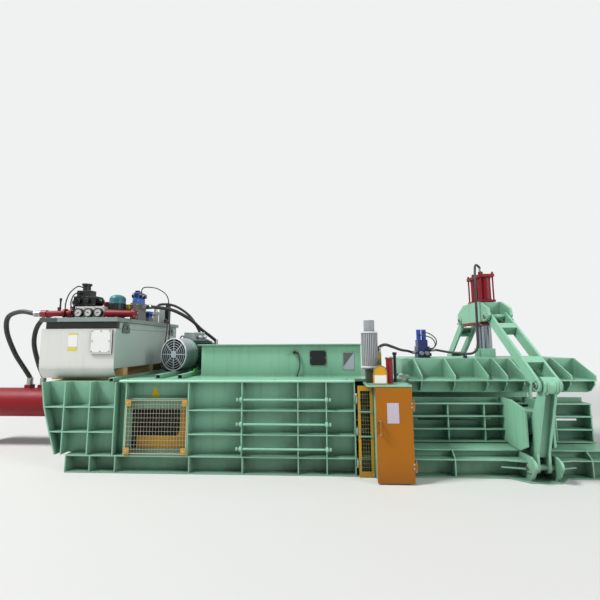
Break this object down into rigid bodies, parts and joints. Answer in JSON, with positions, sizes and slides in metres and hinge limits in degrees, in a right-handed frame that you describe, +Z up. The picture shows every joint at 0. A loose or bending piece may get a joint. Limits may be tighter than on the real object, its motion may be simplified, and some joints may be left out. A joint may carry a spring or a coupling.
{
  "type": "recycling baler",
  "caption": "Horizontal baler for waste paper, with a ram driven from one end, a top hopper, an oil tank and motor on the deck, and a squeeze frame at the bale outlet.",
  "frame": {"origin": "on the floor under the middle of the machine body", "axes": "+X along the machine towards the bale outlet, +Y across it away from the tying cabinet, +Z up"},
  "size_m": [8.27, 2.7978, 2.4965],
  "materials": {
    "mint_paint": "gloss enamel",
    "tank_paint": "satin enamel",
    "crimson_paint": "gloss enamel",
    "chrome": "polished",
    "machined_steel": "machined",
    "amber_paint": "satin enamel",
    "yellow_paint": "satin enamel",
    "black_rubber": "matte",
    "black_plastic": "matte",
    "black_castings": "painted black",
    "navy_castings": "painted navy",
    "gauge_white": "satin",
    "teal_paint": "gloss enamel",
    "block_steel": "oiled",
    "blue_paint": "gloss enamel",
    "cowl_grey": "pressed sheet",
    "motor_green": "painted",
    "timber": "rough sawn"
  },
  "bodies": {
    "frame": {"base_frame": "mint_paint", "chamber_floor": "machined_steel", "chamber_wall_front": "mint_paint", "chamber_wall_rear": "mint_paint", "bulkheads": "mint_paint", "body_panel_front": "mint_paint", "body_panel_rear": "mint_paint", "deck_plate": "mint_paint", "cylinder_end_plate": "mint_paint", "hopper": "mint_paint", "hopper_plates": "black_plastic", "window_guard": "yellow_paint", "tie_bars": "mint_paint", "fixed_blade": "machined_steel", "main_cylinder": "crimson_paint", "cylinder_gland": "machined_steel", "oil_tank": "tank_paint", "tank_lid": "tank_paint", "tank_supports": "timber", "gauge_panel": "gauge_white", "main_valve": "black_castings", "red_pipework": "crimson_paint", "pilot_motor": "teal_paint", "valve_block": "block_steel", "blue_valves": "blue_paint", "tank_fittings": "tank_paint", "motor_rails": "mint_paint", "motor_body": "motor_green", "motor_cowl": "cowl_grey", "oil_pump": "blue_paint", "cabinet": "mint_paint", "station_drive": "crimson_paint", "arch_guard": "yellow_paint", "hinge_posts": "machined_steel", "lever_feet": "mint_paint", "oil_hoses": "black_rubber", "lifting_eyes": "tank_paint", "station_hoses": "black_rubber"},
    "ram": {"ram": "mint_paint", "ram_blade": "machined_steel", "ram_wear_strips": "machined_steel", "piston_rod": "chrome"},
    "top_platen": {"top_platen": "mint_paint", "squeeze_rods": "chrome", "platen_valve": "navy_castings", "platen_leads": "black_rubber"},
    "crosshead": {"crosshead": "mint_paint", "squeeze_cylinders": "crimson_paint", "squeeze_hose": "black_rubber"},
    "link_front": {"link_front": "mint_paint"},
    "link_rear": {"link_rear": "mint_paint"},
    "lever_front": {"lever_front": "mint_paint"},
    "lever_rear": {"lever_rear": "mint_paint"},
    "side_gate_front": {"side_gate_front": "mint_paint"},
    "side_gate_rear": {"side_gate_rear": "mint_paint"},
    "cabinet_door": {"cabinet_door": "amber_paint"},
    "guard_door": {"guard_door": "yellow_paint"},
    "motor_fan": {"motor_fan": "black_plastic"},
    "hand_valve_lever": {"hand_valve_lever": "black_plastic"},
    "twister_shaft": {"twister_shaft": "machined_steel"}
  },
  "joints": [
    {"name": "ram_stroke", "type": "slide", "parent": "frame", "child": "ram", "axis": [1, 0, 0], "range_m": [0, 2.05]},
    {"name": "platen_hinge", "type": "hinge", "parent": "frame", "child": "top_platen", "pos_m": [1.012, 0, 1.002], "axis": [0, 1, 0], "range_deg": [0, 1.5]},
    {"name": "crosshead_lift", "type": "slide", "parent": "top_platen", "child": "crosshead", "axis": [0, 0, 1], "range_m": [0, 0.148]},
    {"name": "link_front_hinge", "type": "hinge", "parent": "crosshead", "child": "link_front", "pos_m": [2.28, -0.41, 1.745], "axis": [1, 0, 0], "range_deg": [0, 6.35]},
    {"name": "link_rear_hinge", "type": "hinge", "parent": "crosshead", "child": "link_rear", "pos_m": [2.28, 0.41, 1.745], "axis": [-1, 0, 0], "range_deg": [0, 6.35]},
    {"name": "lever_front_hinge", "type": "hinge", "parent": "frame", "child": "lever_front", "pos_m": [2.28, -1.1, 0.14], "axis": [-1, 0, 0], "range_deg": [0, 5.9]},
    {"name": "lever_rear_hinge", "type": "hinge", "parent": "frame", "child": "lever_rear", "pos_m": [2.28, 1.1, 0.14], "axis": [1, 0, 0], "range_deg": [0, 5.9]},
    {"name": "side_gate_front_hinge", "type": "hinge", "parent": "frame", "child": "side_gate_front", "pos_m": [1.015, -0.645, 0.5], "axis": [0, 0, 1], "range_deg": [0, 2]},
    {"name": "side_gate_rear_hinge", "type": "hinge", "parent": "frame", "child": "side_gate_rear", "pos_m": [1.015, 0.645, 0.5], "axis": [0, 0, -1], "range_deg": [0, 2]},
    {"name": "cabinet_door_hinge", "type": "hinge", "parent": "frame", "child": "cabinet_door", "pos_m": [0.969, -1.258, 0.48], "axis": [0, 0, 1], "range_deg": [0, 110]},
    {"name": "guard_door_hinge", "type": "hinge", "parent": "frame", "child": "guard_door", "pos_m": [0.402, -1.07, 0.48], "axis": [0, 0, -1], "range_deg": [0, 110]},
    {"name": "motor_spin", "type": "hinge", "parent": "frame", "child": "motor_fan", "pos_m": [-1.806, 0.045, 1.282], "axis": [0.342, 0.9397, 0], "continuous": true},
    {"name": "hand_valve_turn", "type": "hinge", "parent": "frame", "child": "hand_valve_lever", "pos_m": [-3.405, -0.6, 1.896], "axis": [0, 0, 1], "range_deg": [0, 90]},
    {"name": "twister_spin", "type": "hinge", "parent": "frame", "child": "twister_shaft", "pos_m": [0.76, -1.11, 0.5], "axis": [0, 0, 1], "continuous": true}
  ],
  "couplings": [
    {"joint": "crosshead_lift", "follows": "platen_hinge", "m_per_rad": 5.63},
    {"joint": "link_front_hinge", "follows": "platen_hinge", "ratio": 4.217},
    {"joint": "lever_front_hinge", "follows": "platen_hinge", "ratio": 3.912},
    {"joint": "side_gate_front_hinge", "follows": "platen_hinge", "ratio": 1.3333},
    {"joint": "link_rear_hinge", "follows": "platen_hinge", "ratio": 4.217},
    {"joint": "lever_rear_hinge", "follows": "platen_hinge", "ratio": 3.912},
    {"joint": "side_gate_rear_hinge", "follows": "platen_hinge", "ratio": 1.3333}
  ]
}
